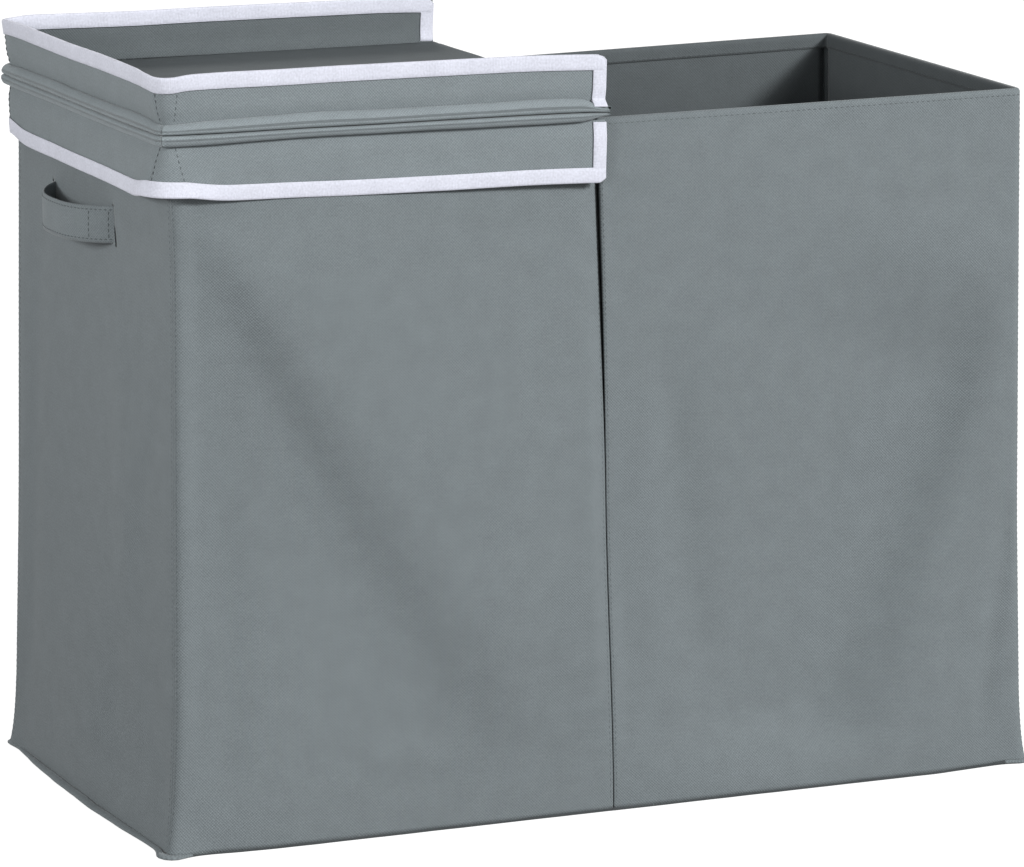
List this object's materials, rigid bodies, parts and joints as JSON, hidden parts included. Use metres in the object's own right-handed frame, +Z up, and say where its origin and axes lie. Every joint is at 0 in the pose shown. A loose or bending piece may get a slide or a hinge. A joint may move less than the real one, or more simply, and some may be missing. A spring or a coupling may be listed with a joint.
{
  "type": "fabric laundry hamper with folding lid",
  "caption": "Foldable rectangular cloth laundry hamper with board-stiffened walls, a divider, end strap handles and a loose folding lid with taped skirts.",
  "frame": {"origin": "middle of the base, on the surface the hamper stands on", "axes": "+X along the long side to the right as seen from the front, +Y to the back, +Z up"},
  "size_m": [0.6932, 0.34, 0.5417],
  "materials": {
    "cover_cloth": "matt woven grey cloth, fine diagonal weave",
    "lining_cloth": "matt darker grey lining cloth",
    "stiff_board": "raw grey-brown pressed board",
    "binding_tape": "white ribbed binding tape",
    "handle_strap": "grey stitched cloth strap"
  },
  "bodies": {
    "basket": {"back_board_left": "stiff_board", "back_board_right": "stiff_board", "back_cover_left": "cover_cloth", "back_cover_right": "cover_cloth", "back_lining_left": "lining_cloth", "back_lining_right": "lining_cloth", "base_cloth": "cover_cloth", "base_seam_welt": "cover_cloth", "divider_board": "stiff_board", "divider_cover": "lining_cloth", "end_board_left": "stiff_board", "end_board_right": "stiff_board", "end_cover_left": "cover_cloth", "end_cover_right": "cover_cloth", "end_lining_left": "lining_cloth", "end_lining_right": "lining_cloth", "front_board_left": "stiff_board", "front_board_right": "stiff_board", "front_cover_left": "cover_cloth", "front_cover_right": "cover_cloth", "front_lining_left": "lining_cloth", "front_lining_right": "lining_cloth", "left_handle_front_end": "handle_strap", "left_handle_rear_end": "handle_strap", "right_handle_front_end": "handle_strap", "right_handle_rear_end": "handle_strap"},
    "floor_left": {"left_floor_board": "stiff_board", "left_floor_cover": "lining_cloth"},
    "floor_right": {"right_floor_board": "stiff_board", "right_floor_cover": "lining_cloth"},
    "handle_left": {"left_handle_grip": "handle_strap"},
    "handle_right": {"right_handle_grip": "handle_strap"},
    "lid_spine": {"lid_hinge_cloth": "cover_cloth"},
    "lid_left": {"left_lid_board": "stiff_board", "left_lid_cover": "cover_cloth", "left_lid_lining": "lining_cloth", "left_lid_roll_back": "cover_cloth", "left_lid_roll_end": "cover_cloth", "left_lid_roll_front": "cover_cloth", "left_lid_skirt_back": "cover_cloth", "left_lid_skirt_end": "cover_cloth", "left_lid_skirt_front": "cover_cloth", "left_lid_tape": "binding_tape"},
    "lid_right": {"right_lid_board": "stiff_board", "right_lid_cover": "cover_cloth", "right_lid_lining": "lining_cloth", "right_lid_roll_back": "cover_cloth", "right_lid_roll_end": "cover_cloth", "right_lid_roll_front": "cover_cloth", "right_lid_skirt_back": "cover_cloth", "right_lid_skirt_end": "cover_cloth", "right_lid_skirt_front": "cover_cloth", "right_lid_tape": "binding_tape"}
  },
  "joints": [
    {"name": "lid_lift", "type": "slide", "parent": "basket", "child": "lid_spine", "axis": [0, 0, 1], "range_m": [0, 0.3]},
    {"name": "lid_turn", "type": "hinge", "parent": "lid_spine", "child": "lid_left", "pos_m": [0, 0, 0.5002], "axis": [0, 1, 0], "range_deg": [0, 180]},
    {"name": "lid_fold", "type": "hinge", "parent": "lid_left", "child": "lid_right", "pos_m": [0, 0, 0.5002], "axis": [0, 1, 0], "range_deg": [0, 180]},
    {"name": "floor_left_lift", "type": "hinge", "parent": "basket", "child": "floor_left", "pos_m": [-0.0029, 0, 0.0057], "axis": [0, 1, 0], "range_deg": [0, 88]},
    {"name": "floor_right_lift", "type": "hinge", "parent": "basket", "child": "floor_right", "pos_m": [0.0029, 0, 0.0057], "axis": [0, -1, 0], "range_deg": [0, 88]},
    {"name": "handle_left_swing", "type": "hinge", "parent": "basket", "child": "handle_left", "pos_m": [-0.324, 0, 0.421], "axis": [0, 1, 0], "range_deg": [0, 30]},
    {"name": "handle_right_swing", "type": "hinge", "parent": "basket", "child": "handle_right", "pos_m": [0.324, 0, 0.421], "axis": [0, -1, 0], "range_deg": [0, 30]}
  ]
}
